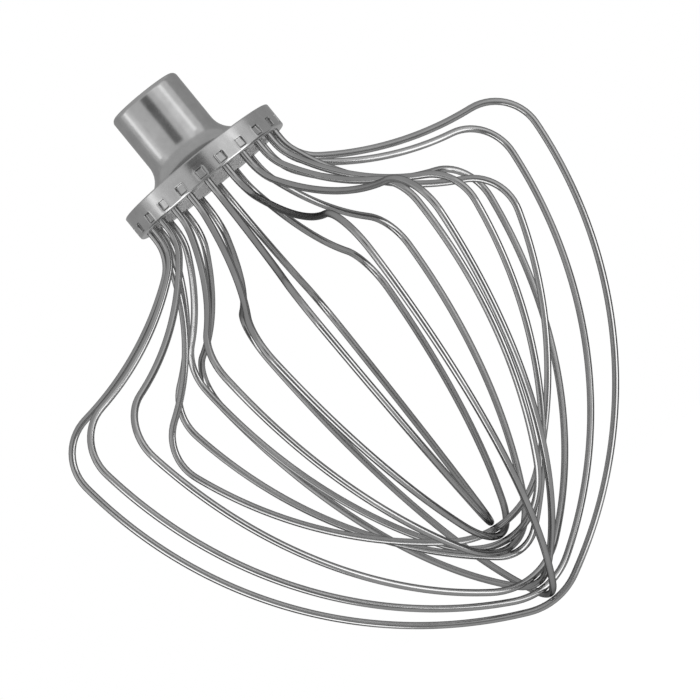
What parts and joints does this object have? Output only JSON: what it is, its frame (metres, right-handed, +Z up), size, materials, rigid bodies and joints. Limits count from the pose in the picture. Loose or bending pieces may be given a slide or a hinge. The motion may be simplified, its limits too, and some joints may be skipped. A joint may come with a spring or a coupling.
{
  "type": "stand mixer wire whisk",
  "caption": "Wire whisk for a stand mixer: steel wire loops of two widths staked into the rim of a turned hub, whose slotted collar slips onto a drive shaft.",
  "frame": {"origin": "on the axis of the shaft bore, at mid height of the hub's rim", "axes": "+Z up the shaft bore towards the mixer, with the loops hanging down; -Y towards the front of the picture's view"},
  "size_m": [0.1484, 0.1477, 0.1661],
  "materials": {
    "hub_steel": "satin turned steel",
    "wire_steel": "drawn steel wire with fine lengthwise lines"
  },
  "bodies": {
    "root": {"hub": "hub_steel", "outer_loop_1": "wire_steel", "outer_loop_2": "wire_steel", "outer_loop_3": "wire_steel", "outer_loop_4": "wire_steel", "outer_loop_5": "wire_steel", "inner_loop_1": "wire_steel", "inner_loop_2": "wire_steel", "inner_loop_3": "wire_steel", "inner_loop_4": "wire_steel", "inner_loop_5": "wire_steel", "inner_loop_6": "wire_steel"}
  },
  "joints": []
}
